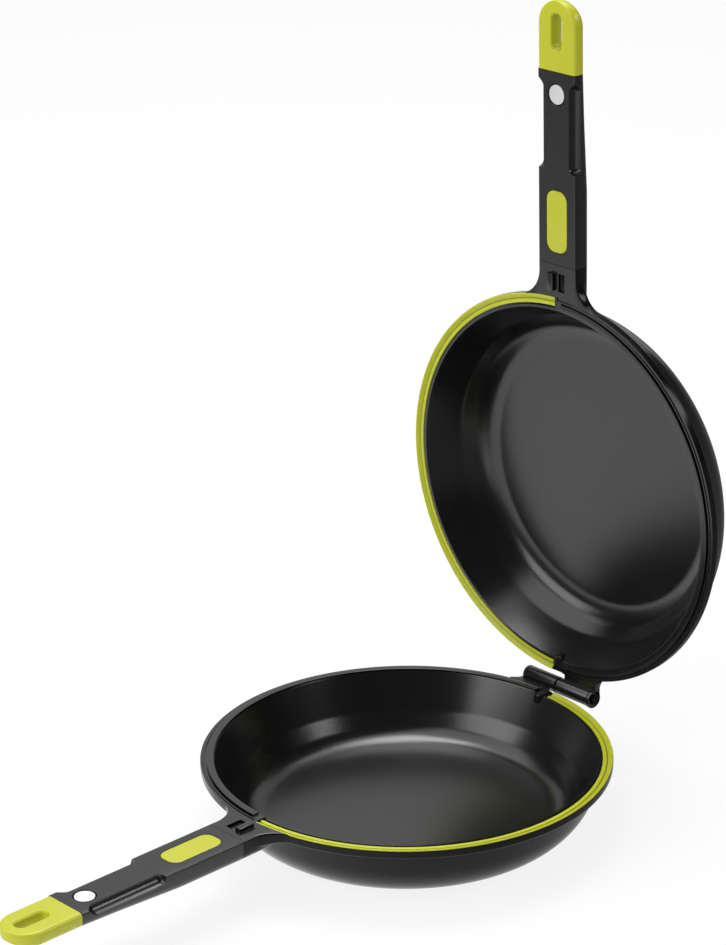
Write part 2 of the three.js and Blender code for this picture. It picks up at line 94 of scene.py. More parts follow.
fillet_root_x = -120.0
grip_half_width = 15.8
grip_depth = 14.5
grip_edge = 1.4
grip_round = 6.0
pad_centre = 179.7
screw_offset = 11.0
screw_way_radius = 2.3
lug_box = (-146, -6.3, -3), (-134.5, -1.6, 2.2)
lug_groove_box = (-146, -8.3, -0.9), (-135, -7.7, 2)
pocket_box = (-146.3, 1.3, -2.5), (-134.2, 6.6, 2)
tang_box = (-203, -7.5, -11.5), (-149.5, 7.5, -7.3)

half_places = {
    "lower": Matrix.Translation((0, 0, pan_height)),
    "upper": Matrix.Translation((hinge_x, 0, pan_height))
    @ Matrix.Rotation(math.radians(open_degrees), 4, "Y")
    @ Matrix.Translation((-hinge_x, 0, 0))
    @ Matrix.Rotation(math.pi, 4, "X"),
}


def colour(code):
    """The linear colour of an sRGB hex code."""
    parts = [int(code[i:i + 2], 16) / 255 for i in (1, 3, 5)]
    return (*[p / 12.92 if p <= 0.04045 else ((p + 0.055) / 1.055) ** 2.4 for p in parts], 1.0)


def add_node(tree, kind, inputs=None, **settings):
    """A node with its settings; an input is a socket to link or a value to set."""
    node = tree.nodes.new(kind)
    for name, value in settings.items():
        setattr(node, name, value)
    for key, value in (inputs or {}).items():
        if isinstance(value, bpy.types.NodeSocket):
            tree.links.new(value, node.inputs[key])
        else:
            node.inputs[key].default_value = value
    return node


def start_material(name):
    """A new material with an empty tree."""
    material = bpy.data.materials.new(name)
    material.use_nodes = True
    material.node_tree.nodes.clear()
    return material, material.node_tree


def arc(centre_r, centre_z, radius, start, end, steps):
    """Points on an arc between two angles in degrees, both ends included."""
    angles = [math.radians(start + (end - start) * i / steps) for i in range(steps + 1)]
    return [(centre_r + radius * math.cos(a), centre_z + radius * math.sin(a)) for a in angles]


def place_mesh(name, work):
    """A bmesh with its faces turned outward, as an object in the scene."""
    bmesh.ops.recalc_face_normals(work, faces=work.faces)
    mesh = bpy.data.meshes.new(name)
    work.to_mesh(mesh)
    work.free()
    made = bpy.data.objects.new(name, mesh)
    bpy.context.scene.collection.objects.link(made)
    return made


def skin(name, rings, loop=False):
    """A closed mesh over rings of equally many points, capped at both ends or looped."""
    work = bmesh.new()
    grid = [[work.verts.new(point) for point in ring] for ring in rings]
    pairs = list(zip(grid, grid[1:]))
    if loop:
        pairs.append((grid[-1], grid[0]))
    else:
        work.faces.new(grid[0])
        work.faces.new(grid[-1])
    for near, far in pairs:
        for i in range(len(near)):
            j = (i + 1) % len(near)
            work.faces.new((near[i], near[j], far[j], far[i]))
    return place_mesh(name, work)


def turned(name, profile, steps=240):
    """A profile of (radius, height) turned about the pan's own axis."""
    turns = [2 * math.pi * i / steps for i in range(steps)]
    return skin(name, [[(r * math.cos(a), r * math.sin(a), z) for a in turns] for r, z in profile])


def half_ring(name, section, side, handle_gap, hinge_gap, steps=160):
    """A closed section swept round one side of the rim, with flat ends beside the long axis."""
    rings = []
    for i in range(steps + 1):
        ring = []
        for r, z in section:
            first = math.asin(hinge_gap / r)
            last = math.pi - math.asin(handle_gap / r)
            angle = first + (last - first) * i / steps
            ring.append((r * math.cos(angle), side * r * math.sin(angle), z))
        rings.append(ring)
    return skin(name, rings)


def upright(name, x, profile, steps=64):
    """A profile of (radius, height) turned about an upright line at y = 0."""
    turns = [2 * math.pi * i / steps for i in range(steps)]
    return skin(name, [[(x + r * math.cos(a), r * math.sin(a), z) for a in turns]
                       for r, z in profile])


def prism(name, outline, levels):
    """An outline function of an inset, stacked at (inset, height) levels."""
    return skin(name, [[(x, y, z) for x, y in outline(inset)] for inset, z in levels])


def rounded_block(name, low, high, edge):
    """A block with small rounded edges."""
    def outline(inset):
        x0, y0, x1, y1 = low[0] + inset, low[1] + inset, high[0] - inset, high[1] - inset
        e = max(edge - inset, edge * 0.25)
        c = e * 0.3
        return [(x0 + e, y0), (x1 - e, y0), (x1 - c, y0 + c), (x1, y0 + e),
                (x1, y1 - e), (x1 - c, y1 - c), (x1 - e, y1), (x0 + e, y1),
                (x0 + c, y1 - c), (x0, y1 - e), (x0, y0 + e), (x0 + c, y0 + c)]
    cut = edge * 0.3
    return prism(name, outline, [
        (edge, low[2]), (cut, low[2] + cut), (0, low[2] + edge),
        (0, high[2] - edge), (cut, high[2] - cut), (edge, high[2])])


def along_hinge(name, profile, steps=64, loop=False):
    """A profile of (radius, y) turned about the hinge line."""
    turns = [2 * math.pi * i / steps for i in range(steps)]
    return skin(name, [[(hinge_x + r * math.cos(a), y, r * math.sin(a)) for a in turns]
                       for r, y in profile], loop)


def handle_station(distance, half_width, depth, edge=grip_edge):
    """One section of neck, grip or cap: a flat face above and rounded corners below."""
    edge = min(edge, half_width / 2)
    low = min(grip_round, half_width - edge, depth / 2)
    right = [(half_width - edge + x, z) for x, z in arc(0, face_z - edge, edge, 90, 0, 7)]
    right += arc(half_width - low, low - depth, low, 0, -90, 9)
    ring = right + [(-y, z) for y, z in reversed(right)]
    return [(-distance, y, z) for y, z in ring]


def combine(body, operation, others):
    """Adds the others to a body or cuts them from it, and uses them up."""
    for other in others:
        step = body.modifiers.new("step", "BOOLEAN")
        step.operation = operation
        step.solver = "MANIFOLD"
        step.object = other
    result = body.evaluated_get(bpy.context.evaluated_depsgraph_get())
    mesh = bpy.data.meshes.new_from_object(result)
    mesh.materials.clear()
    body.modifiers.clear()
    body.data = mesh
    for other in others:
        bpy.data.objects.remove(other)


def take_in(body, others):
    """Adds the others' closed shells to a body's mesh without cutting either."""
    work = bmesh.new()
    work.from_mesh(body.data)
    for other in others:
        work.from_mesh(other.data)
        bpy.data.objects.remove(other)
    work.to_mesh(body.data)
    work.free()


def settle(body, half):
    """Smooth shading up to 32 degrees, then the mesh takes its place in metres."""
    body.data.shade_smooth()
    body.data.set_sharp_from_angle(angle=math.radians(32))
    body.data.transform(Matrix.Scale(0.001, 4) @ half_places[half])
    body.data.update()


def keep(body, half, node):
    """Ties a piece to its half and hides the node that it stands for."""
    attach(body, half + "_half")
    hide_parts(node)


def outer_wall(depth):
    """The radius of the casting's outer face at a depth below the rim."""
    return rim_radius - wall_setback - depth * math.tan(math.radians(wall_slope))


# PTFE non-stick coat, sprayed and baked: satin, with fine flakes and the grain of the spray, drawn
# at 1 mm, about twice the real one, so that it shows
nonstick, tree = start_material("ptfe_nonstick_sprayed")
place = add_node(tree, "ShaderNodeTexCoord").outputs["Object"]
flakes = add_node(tree, "ShaderNodeTexNoise", {"Vector": place, "Scale": 1100.0, "Detail": 1.0})
cloud = add_node(tree, "ShaderNodeTexNoise", {"Vector": place, "Scale": 14.0, "Detail": 2.0})
flake_shade = add_node(tree, "ShaderNodeValToRGB", {"Fac": flakes.outputs["Fac"]})
flake_shade.color_ramp.elements[0].position = 0.35
flake_shade.color_ramp.elements[0].color = colour("#0d0e0e")
flake_shade.color_ramp.elements[1].position = 0.75
flake_shade.color_ramp.elements[1].color = colour("#171818")
grain = add_node(tree, "ShaderNodeBump", {"Height": flakes.outputs["Fac"], "Strength": 0.22,
                                          "Distance": 0.0003})
gloss = add_node(tree, "ShaderNodeMapRange", {"Value": cloud.outputs["Fac"], "To Min": 0.18,
                                              "To Max": 0.215})
coat = add_node(tree, "ShaderNodeBsdfPrincipled", {
    "Base Color": flake_shade.outputs["Color"], "Roughness": gloss.outputs["Result"],
    "IOR": 1.65, "Normal": grain.outputs["Normal"]})
add_node(tree, "ShaderNodeOutputMaterial", {"Surface": coat.outputs[0]})

# Silicone enamel, sprayed outside: near black and glossy, with a slight orange peel
enamel, tree = start_material("black_enamel_sprayed")
place = add_node(tree, "ShaderNodeTexCoord").outputs["Object"]
peel = add_node(tree, "ShaderNodeTexNoise", {"Vector": place, "Scale": 220.0, "Detail": 1.0})
dust = add_node(tree, "ShaderNodeTexNoise", {"Vector": place, "Scale": 900.0, "Detail": 2.0})
peel_bump = add_node(tree, "ShaderNodeBump", {"Height": peel.outputs["Fac"], "Strength": 0.1,
                                              "Distance": 0.0004})
shade = add_node(tree, "ShaderNodeMix", {"Factor": dust.outputs["Fac"], "A": colour("#060706"),
                                         "B": colour("#0b0c0b")}, data_type="RGBA")
gloss = add_node(tree, "ShaderNodeMapRange", {"Value": dust.outputs["Fac"], "To Min": 0.14,
                                              "To Max": 0.2})
coat = add_node(tree, "ShaderNodeBsdfPrincipled", {
    "Base Color": shade.outputs["Result"], "Roughness": gloss.outputs["Result"], "IOR": 1.33,
    "Normal": peel_bump.outputs["Normal"]})
add_node(tree, "ShaderNodeOutputMaterial", {"Surface": coat.outputs[0]})

# The belly's arc meets the sloped base and the wall, and the bowl's two arcs join three cones
belly_centre_z = -pan_height + belly_round * math.cos(math.radians(base_slope))
belly_centre_r = (outer_wall(-belly_centre_z)
                  - belly_round / math.cos(math.radians(wall_slope)))
bowl_fillet_r = (bend_radius - (pan_depth - bend_depth) * math.tan(math.radians(lower_flare))
                 - bowl_fillet * math.tan(math.radians((90 - lower_flare) / 2)))
upper_flare = math.degrees(math.atan2(bowl_radius - bend_radius, bend_depth))
bend_half = math.radians(lower_flare - upper_flare) / 2
bend_middle = math.radians(-lower_flare) + bend_half
bend_r = bend_radius - wall_bend / math.cos(bend_half) * math.cos(bend_middle)
bend_z = -bend_depth - wall_bend / math.cos(bend_half) * math.sin(bend_middle)

# The neck's two fillets each touch the handle's side and the rim
neck_fillet_y = grip_half_width + neck_fillet
neck_fillet_x = math.sqrt((rim_radius + neck_fillet) ** 2 - neck_fillet_y ** 2)
neck_fillet_sweep = math.atan2(neck_fillet_x, neck_fillet_y)


def plug_outline(inset):
    """The plug seen from above: flat at the rim's edge and round towards the bowl."""
    half_width = 3.5 - inset
    flat_x = rim_radius - clearance - inset
    tip = arc(bowl_radius + 0.4, 0, half_width, 90, 270, 20)
    return [(flat_x, -half_width), (flat_x, half_width), *tip]


def ring_round_pin(name, outer_profile):
    """A closed shell between a profile of (radius, y) and the bore."""
    bore_r = pin_radius + clearance
    return along_hinge(name, [(bore_r, outer_profile[0][1]), *outer_profile,
                              (bore_r, outer_profile[-1][1])], loop=True)


for half, split, barrel_end, ear, web_flare in (("lower", -1.6, 27.0, 0.0, 4.5),
                                                ("upper", 1.6, 30.2, 2.2, 2.0)):
    seat_radius = disc_radius + clearance
    casting = turned(half + "_pan_casting", [
        (seat_radius, disc_thickness + clearance - pan_height),
        (seat_radius, seat_chamfer - pan_height),
        (seat_radius + seat_chamfer, -pan_height),
        *arc(belly_centre_r, belly_centre_z, belly_round, base_slope - 90, -wall_slope, 20),
        (outer_wall(skirt_depth), -skirt_depth),
        *arc(rim_radius - flange_round, flange_bottom_z + flange_round, flange_round, -90, 0, 6),
        *arc(rim_radius - rim_edge_round, land_z - rim_edge_round, rim_edge_round, 0, 90, 5)])
    tongue_in = bowl_radius + 0.3
    tongue_out = tongue_in + tongue_width
    round_z = tongue_height - tongue_round
    tongue = half_ring("tongue", [
        (tongue_in, channel_floor_z), (tongue_out, channel_floor_z),
        *arc(tongue_out - tongue_round, round_z, tongue_round, 0, 90, 4),
        *arc(tongue_in + tongue_round, round_z, tongue_round, 90, 180, 4)],
        side=1, handle_gap=4.2, hinge_gap=4.4)
    beam = skin("beam", [
        handle_station(seam_distance - neck_reach * i / 8, grip_half_width,
                       grip_depth - neck_thinning * i / 8) for i in range(9)])
    fillet_rings = []
    for i in range(25):
        share = i / 24
        turn = neck_fillet_sweep * share
        fillet_rings.append(handle_station(
            neck_fillet_x - neck_fillet * math.sin(turn),
            grip_half_width + neck_fillet * (1 - math.cos(turn)),
            grip_depth + (fillet_end_depth - grip_depth) * share ** 0.7))
    fillet_rings.append([(fillet_root_x, y, z) for _, y, z in fillet_rings[-1]])
    neck_plate = skin("neck_plate", fillet_rings)
    lug = rounded_block("lug", *lug_box, edge=0.5)
    tang = rounded_block("tang", *tang_box, edge=0.4)
    web_end = barrel_end + ear
    web_x = hinge_x - barrel_radius
    web_outline = [(channel_inner, 5.4), (rim_radius + clearance, 5.4), (web_x, 5.2),
                   (hinge_x, 5.2), (hinge_x, web_end), (web_x, web_end)]
    web_outline += [(web_x - web_sweep * i / 8, web_end + web_flare * (i / 8) ** 2)
                    for i in range(1, 9)]
    web_outline.append((channel_inner, web_end + web_flare))
    web = skin("web", [[(x, y, z) for x, y in web_outline] for z in (web_bottom_z, web_top_z)])
    combine(casting, "UNION", [tongue, beam, neck_plate, lug, tang, web])

    bowl = turned("bowl", [
        *arc(bowl_fillet_r, bowl_fillet - pan_depth, bowl_fillet, -90, -lower_flare, 24),
        *arc(bend_r, bend_z, wall_bend, -lower_flare, -upper_flare, 12),
        (bowl_radius - 0.35, -0.75), (bowl_radius - 0.1, -0.25), (bowl_radius + 0.3, 0.3),
        (bowl_radius + 0.3, 3)])
    key_seat_in = key_in - clearance
    key_seat_out = key_in + key_width + clearance
    ledge_in = gasket_outer - ledge_width
    channel = half_ring("channel", [
        (channel_inner, channel_floor_z), (key_seat_in, channel_floor_z),
        (key_seat_in, key_seat_z), (key_seat_out, key_seat_z),
        (key_seat_out, channel_floor_z), (ledge_in, channel_floor_z), (ledge_in, ledge_z),
        (gasket_outer + clearance, ledge_z), (gasket_outer + clearance, 2),
        (bowl_radius - 2, 2), (bowl_radius - 2, bowl_edge_z), (channel_inner, bowl_edge_z)],
        side=-1, handle_gap=1.7, hinge_gap=3.8)
    tongue_groove = half_ring("tongue_groove", [
        (126.25, -1.1), (127.3, -1.1), (127.5, 1.6), (126.25, 1.6)],
        side=1, handle_gap=3.9, hinge_gap=4.4)
    outer_step = half_ring("outer_step", [
        (step_in, -0.1), (step_in + 0.4, step_z), (rim_radius + 0.35, step_z),
        (rim_radius + 0.35, 1.6), (step_in, 1.6)],
        side=1, handle_gap=0.2, hinge_gap=6.5)
    plug_seat = prism("plug_seat", plug_outline, [(-clearance, -6.2), (-clearance, 2)])
    pocket = rounded_block("pocket", *pocket_box, edge=0.3)
    lug_groove = rounded_block("lug_groove", *lug_groove_box, edge=0.15)
    bore = along_hinge("bore", [(pin_radius + clearance, split - 4),
                                (pin_radius + clearance, web_end + 4)])
    screw_ways = [upright("way", -pad_centre + dx, [
        (screw_way_radius, -14), (screw_way_radius, 0)], steps=16)
        for dx in (-screw_offset, screw_offset)]
    combine(casting, "DIFFERENCE", [bowl, channel, tongue_groove, outer_step, plug_seat, pocket,
                                    lug_groove, bore, *screw_ways])
    shells = [ring_round_pin("barrel", [
        (4.7, split + 0.25), (5.2, split + 0.4), (barrel_radius, split + 0.75),
        (barrel_radius, barrel_end - 0.9), (5.35, barrel_end - 0.35), (4.9, barrel_end)])]
    if ear:
        shells.append(ring_round_pin("ear", [
            (5.4, barrel_end - 0.9), (5.9, barrel_end - 0.6), (ear_radius, barrel_end - 0.2),
            (ear_radius, web_end - 0.7), (5.8, web_end - 0.25), (5.4, web_end),
            (3.9, web_end), (3.7, web_end - 0.25)]))
    take_in(casting, shells)

    # The non-stick coat goes on the bowl, on what looks up at the rim, and on the hinge
    casting.data.materials.append(nonstick)
    casting.data.materials.append(enamel)
    for face in casting.data.polygons:
        x, y, z = face.center
        inward = face.normal.x * x + face.normal.y * y < 0 or face.normal.z > 0.5
        inside = inward and math.hypot(x, y) < bowl_radius + 0.2 and z > -pan_depth - 1
        upward = face.normal.z > 0.6 and z > channel_floor_z - 0.2
        at_hinge = x > rim_radius + 0.5
        face.material_index = 0 if inside or upward or at_hinge else 1
    settle(casting, half)
    keep(casting, half, half + "_pan_body")

# The base discs. Each is a stamped disc of ferritic steel for induction hobs, pressed into the
# base and turned flat, so it shows fine rings. Studs of the pan's aluminium fill its holes.
plate_lift = 0.15
plate_edge = 0.3
turning_pitch = 1.2
stud_spacing = 9.0
stud_radius = 1.9
stud_height = 0.6
stud_lift = 0.04

# Ferritic steel, turned on a lathe: bright rings with a soft sheen, drawn 1.2 mm apart, coarser
# than a real cut, so that they show
disc_steel, tree = start_material("ferritic_steel_turned")
place = add_node(tree, "ShaderNodeTexCoord").outputs["Object"]
radius = add_node(tree, "ShaderNodeAttribute", attribute_name="turning_radius").outputs["Fac"]
cuts = add_node(tree, "ShaderNodeMath", {0: radius, 1: 2 * math.pi / turning_pitch},
                operation="MULTIPLY")
cuts = add_node(tree, "ShaderNodeMath", {0: cuts.outputs[0]}, operation="SINE")
stain = add_node(tree, "ShaderNodeTexNoise", {"Vector": place, "Scale": 60.0, "Detail": 3.0})
shade = add_node(tree, "ShaderNodeMix", {"Factor": stain.outputs["Fac"], "A": colour("#9a9997"),
                                         "B": colour("#b6b5b3")}, data_type="RGBA")
gloss = add_node(tree, "ShaderNodeMapRange", {"Value": stain.outputs["Fac"], "To Min": 0.28,
                                              "To Max": 0.4})
ring_bump = add_node(tree, "ShaderNodeBump", {"Height": cuts.outputs[0], "Strength": 0.25,
                                              "Distance": 0.00015})
turning = add_node(tree, "ShaderNodeBsdfPrincipled", {
    "Base Color": shade.outputs["Result"], "Metallic": 1.0, "Roughness": gloss.outputs["Result"],
    "Normal": ring_bump.outputs["Normal"]})
add_node(tree, "ShaderNodeOutputMaterial", {"Surface": turning.outputs[0]})

# Bare aluminium, turned with the disc: paler and a little rougher than the steel round it
stud_metal, tree = start_material("aluminium_turned")
place = add_node(tree, "ShaderNodeTexCoord").outputs["Object"]
stain = add_node(tree, "ShaderNodeTexNoise", {"Vector": place, "Scale": 300.0, "Detail": 2.0})
gloss = add_node(tree, "ShaderNodeMapRange", {"Value": stain.outputs["Fac"], "To Min": 0.34,
                                              "To Max": 0.46})
turning = add_node(tree, "ShaderNodeBsdfPrincipled", {
    "Base Color": colour("#d3d2d0"), "Metallic": 1.0, "Roughness": gloss.outputs["Result"]})
add_node(tree, "ShaderNodeOutputMaterial", {"Surface": turning.outputs[0]})


def start_shape(name, sizes):
    """A geometry tree with a mesh, named sizes and a material as its inputs."""
    shape = bpy.data.node_groups.new(name, "GeometryNodeTree")
    shape.interface.new_socket("Geometry", in_out="OUTPUT", socket_type="NodeSocketGeometry")
    shape.interface.new_socket("Mesh", in_out="INPUT", socket_type="NodeSocketGeometry")
    for size in sizes:
        kind = "NodeSocketInt" if size.endswith("Count") else "NodeSocketFloat"
        shape.interface.new_socket(size, in_out="INPUT", socket_type=kind)
    shape.interface.new_socket("Material", in_out="INPUT", socket_type="NodeSocketMaterial")
    return shape, add_node(shape, "NodeGroupInput").outputs


def grow_shape(body, shape, values):
    """Runs a geometry tree on a body and keeps the plain mesh it makes."""
    modifier = body.modifiers.new("shape", "NODES")
    modifier.node_group = shape
    for socket in shape.interface.items_tree:
        if socket.in_out == "INPUT" and socket.name in values:
            modifier[socket.identifier] = values[socket.name]
    result = body.evaluated_get(bpy.context.evaluated_depsgraph_get())
    mesh = bpy.data.meshes.new_from_object(result)
    body.modifiers.clear()
    body.data = mesh


# Two square grids of points, one shifted by half a cell, give rows of studs at 60 degrees
stud_field, sizes = start_shape("stud_field", [
    "Spacing", "Inner Radius", "Outer Radius", "Stud Radius", "Stud Height", "Stud Middle",
    "Row Count", "Column Count"])
row_pitch = add_node(stud_field, "ShaderNodeMath", {0: sizes["Spacing"], 1: math.sqrt(3)},
                     operation="MULTIPLY")
rows_less = add_node(stud_field, "ShaderNodeMath", {0: sizes["Row Count"], 1: 1.0},
                     operation="SUBTRACT")
columns_less = add_node(stud_field, "ShaderNodeMath", {0: sizes["Column Count"], 1: 1.0},
                        operation="SUBTRACT")
span_y = add_node(stud_field, "ShaderNodeMath", {
    0: row_pitch.outputs[0], 1: rows_less.outputs[0]}, operation="MULTIPLY")
span_x = add_node(stud_field, "ShaderNodeMath", {
    0: sizes["Spacing"], 1: columns_less.outputs[0]}, operation="MULTIPLY")
grid = add_node(stud_field, "GeometryNodeMeshGrid", {
    "Size X": span_x.outputs[0], "Size Y": span_y.outputs[0],
    "Vertices X": sizes["Column Count"], "Vertices Y": sizes["Row Count"]})
half_x = add_node(stud_field, "ShaderNodeMath", {0: sizes["Spacing"], 1: 0.5},
                  operation="MULTIPLY")
half_y = add_node(stud_field, "ShaderNodeMath", {0: row_pitch.outputs[0], 1: 0.5},
                  operation="MULTIPLY")
shift = add_node(stud_field, "ShaderNodeCombineXYZ", {
    "X": half_x.outputs[0], "Y": half_y.outputs[0]})
second_grid = add_node(stud_field, "GeometryNodeTransform", {
    "Geometry": grid.outputs["Mesh"], "Translation": shift.outputs[0]})
both_grids = add_node(stud_field, "GeometryNodeJoinGeometry", {"Geometry": grid.outputs["Mesh"]})
stud_field.links.new(second_grid.outputs["Geometry"], both_grids.inputs["Geometry"])
spot = add_node(stud_field, "GeometryNodeInputPosition")
spot_radius = add_node(stud_field, "ShaderNodeVectorMath", {0: spot.outputs[0]},
                       operation="LENGTH")
beyond = add_node(stud_field, "ShaderNodeMath", {
    0: spot_radius.outputs["Value"], 1: sizes["Outer Radius"]}, operation="GREATER_THAN")
within = add_node(stud_field, "ShaderNodeMath", {
    0: spot_radius.outputs["Value"], 1: sizes["Inner Radius"]}, operation="LESS_THAN")
unwanted = add_node(stud_field, "ShaderNodeMath", {0: beyond.outputs[0], 1: within.outputs[0]})
kept_spots = add_node(stud_field, "GeometryNodeDeleteGeometry", {
    "Geometry": both_grids.outputs["Geometry"], "Selection": unwanted.outputs[0]})
one_stud = add_node(stud_field, "GeometryNodeMeshCylinder", {
    "Vertices": 16, "Radius": sizes["Stud Radius"], "Depth": sizes["Stud Height"]})
studs = add_node(stud_field, "GeometryNodeInstanceOnPoints", {
    "Points": kept_spots.outputs["Geometry"], "Instance": one_stud.outputs["Mesh"]})
lift = add_node(stud_field, "ShaderNodeCombineXYZ", {"Z": sizes["Stud Middle"]})
studs = add_node(stud_field, "GeometryNodeTransform", {
    "Geometry": studs.outputs["Instances"], "Translation": lift.outputs[0]})
studs = add_node(stud_field, "GeometryNodeRealizeInstances", {
    "Geometry": studs.outputs["Geometry"]})
studs = add_node(stud_field, "GeometryNodeSetMaterial", {
    "Geometry": studs.outputs["Geometry"], "Material": sizes["Material"]})
plate_and_studs = add_node(stud_field, "GeometryNodeJoinGeometry", {"Geometry": sizes["Mesh"]})
stud_field.links.new(studs.outputs["Geometry"], plate_and_studs.inputs["Geometry"])
add_node(stud_field, "NodeGroupOutput", {0: plate_and_studs.outputs["Geometry"]})

for half in half_places:
    plate_z = plate_lift - pan_height
    disc = turned(half + "_base_plate", [
        (0.05, plate_z), *[(3.0 * i, plate_z) for i in range(1, 26)],
        (disc_radius - plate_edge, plate_z), (disc_radius, plate_z + plate_edge),
        (disc_radius, disc_thickness - pan_height)])
    radii = disc.data.attributes.new("turning_radius", "FLOAT", "POINT")
    radii.data.foreach_set("value", [vertex.co.xy.length for vertex in disc.data.vertices])
    disc.data.materials.append(disc_steel)
    grow_shape(disc, stud_field, {
        "Spacing": stud_spacing, "Inner Radius": 12.0, "Outer Radius": 70.0,
        "Stud Radius": stud_radius, "Stud Height": stud_height,
        "Stud Middle": stud_lift + stud_height / 2 - pan_height,
        "Row Count": 11, "Column Count": 19, "Material": stud_metal})
    settle(disc, half)
    keep(disc, half, half + "_base_disc")

# The rim gaskets. Each is a moulded silicone strip with two lips, pressed into the channel on one
# half of the rim by a key below it. It closes on the other pan's tongue.
gasket_bottom_z = -2.5
key_bottom_z = -4.0
inner_lip_out = gasket_inner + 2.5
lip_round = 0.6
lip_centre_z = -1.9
groove_out = inner_lip_out + 0.5
groove_z = -2.1
outer_lip_in = gasket_outer - 1.2
outer_lip_z = -1.1
crest_round = 0.5
crest_centre_z = -0.8
gasket_handle_gap = 2.0
gasket_hinge_gap = 5.6

# Silicone rubber, compression moulded and dyed: satin, with painted shade down in the valley
silicone, tree = start_material("lime_silicone_moulded")
place = add_node(tree, "ShaderNodeTexCoord").outputs["Object"]
dust = add_node(tree, "ShaderNodeTexNoise", {"Vector": place, "Scale": 400.0, "Detail": 2.0})
shade = add_node(tree, "ShaderNodeMix", {"Factor": dust.outputs["Fac"], "A": colour("#b4b928"),
                                         "B": colour("#c2c733")}, data_type="RGBA")
# Painted shade: a darker lime is mixed in down in the groove and a little on the ramp
valley_shade = add_node(tree, "ShaderNodeAttribute", attribute_name="valley_shade").outputs["Fac"]
shade = add_node(tree, "ShaderNodeMix", {"Factor": valley_shade, "A": shade.outputs["Result"],
                                         "B": colour("#8a9006")}, data_type="RGBA")
rubber = add_node(tree, "ShaderNodeBsdfPrincipled", {
    "Base Color": shade.outputs["Result"], "Roughness": 0.38, "IOR": 1.43})
add_node(tree, "ShaderNodeOutputMaterial", {"Surface": rubber.outputs[0]})

rim_strip, sizes = start_shape("rim_strip", ["Path Radius", "Start Angle", "Sweep", "Step Count"])
path = add_node(rim_strip, "GeometryNodeCurveArc", {
    "Resolution": sizes["Step Count"], "Radius": sizes["Path Radius"],
    "Start Angle": sizes["Start Angle"], "Sweep Angle": sizes["Sweep"]})
path = add_node(rim_strip, "GeometryNodeSetCurveNormal", {"Curve": path.outputs["Curve"]},
                mode="Z_UP")
section = add_node(rim_strip, "GeometryNodeMeshToCurve", {"Mesh": sizes["Mesh"]})
strip = add_node(rim_strip, "GeometryNodeCurveToMesh", {
    "Curve": path.outputs["Curve"], "Profile Curve": section.outputs["Curve"], "Fill Caps": True})
strip = add_node(rim_strip, "GeometryNodeRealizeInstances", {"Geometry": strip.outputs["Mesh"]})
strip = add_node(rim_strip, "GeometryNodeSetMaterial", {
    "Geometry": strip.outputs["Geometry"], "Material": sizes["Material"]})
add_node(rim_strip, "NodeGroupOutput", {0: strip.outputs["Geometry"]})

# From the key round the outer lip, down the ramp into the groove, and back over the inner lip
gasket_section = [
    (gasket_inner, gasket_bottom_z), (key_in, gasket_bottom_z), (key_in, key_bottom_z),
    (key_in + key_width, key_bottom_z), (key_in + key_width, gasket_bottom_z),
    (outer_lip_in, gasket_bottom_z), (outer_lip_in, outer_lip_z), (gasket_outer, outer_lip_z),
    *arc(gasket_outer - crest_round, crest_centre_z, crest_round, 0, 120, 8),
    (gasket_outer - 1.7, -1.15), (groove_out + 0.4, -1.7),
    (groove_out, groove_z), (inner_lip_out, groove_z),
    *arc(inner_lip_out - lip_round, lip_centre_z, lip_round, 0, 90, 5),
    *arc(gasket_inner + lip_round, lip_centre_z, lip_round, 90, 180, 5)]


def valley_shade_share(r, z):
    """Painted shade at a section point: 1 down in the groove, less on the ramp, 0 elsewhere."""
    if inner_lip_out - 0.05 < r < groove_out + 0.05 and z < lip_centre_z:
        return 1.0
    return 0.2 if groove_out < r < gasket_outer - 1.3 and z > -1.8 else 0.0


path_radius = (gasket_inner + gasket_outer) / 2
for half in half_places:
    count = len(gasket_section)
    section_mesh = bpy.data.meshes.new(half + "_gasket_strip")
    section_mesh.from_pydata([(r - path_radius, -z, 0) for r, z in gasket_section],
                             [(i, (i + 1) % count) for i in range(count)], [])
    # The painted shade of the groove and ramp, kept on the section's points
    valley_shades = section_mesh.attributes.new("valley_shade", "FLOAT", "POINT")
    valley_shades.data.foreach_set("value", [valley_shade_share(r, z) for r, z in gasket_section])
    gasket = bpy.data.objects.new(half + "_gasket_strip", section_mesh)
    bpy.context.scene.collection.objects.link(gasket)
    handle_end = math.asin(gasket_handle_gap / path_radius)
    hinge_end = math.asin(gasket_hinge_gap / path_radius)
    grow_shape(gasket, rim_strip, {
        "Path Radius": path_radius, "Start Angle": handle_end - math.pi,
        "Sweep": math.pi - handle_end - hinge_end, "Step Count": 160, "Material": silicone})
    work = bmesh.new()
    work.from_mesh(gasket.data)
    bmesh.ops.remove_doubles(work, verts=work.verts, dist=0.001)
    bmesh.ops.recalc_face_normals(work, faces=work.faces)
    work.to_mesh(gasket.data)
    work.free()
    settle(gasket, half)
    keep(gasket, half, half + "_rim_gasket")

# The rim plugs. Each is a small moulded piece of black silicone, pressed into a seat across the
# rim beside the hinge, with its upper edges well rounded.

# Silicone rubber, moulded: near black and satin, with a soft light along its edges
plug_rubber, tree = start_material("black_silicone_moulded")
place = add_node(tree, "ShaderNodeTexCoord").outputs["Object"]
dust = add_node(tree, "ShaderNodeTexNoise", {"Vector": place, "Scale": 700.0, "Detail": 2.0})
shade = add_node(tree, "ShaderNodeMix", {"Factor": dust.outputs["Fac"], "A": colour("#0b0c0c"),
                                         "B": colour("#131414")}, data_type="RGBA")
rubber = add_node(tree, "ShaderNodeBsdfPrincipled", {
    "Base Color": shade.outputs["Result"], "Roughness": 0.36, "IOR": 1.43})
add_node(tree, "ShaderNodeOutputMaterial", {"Surface": rubber.outputs[0]})

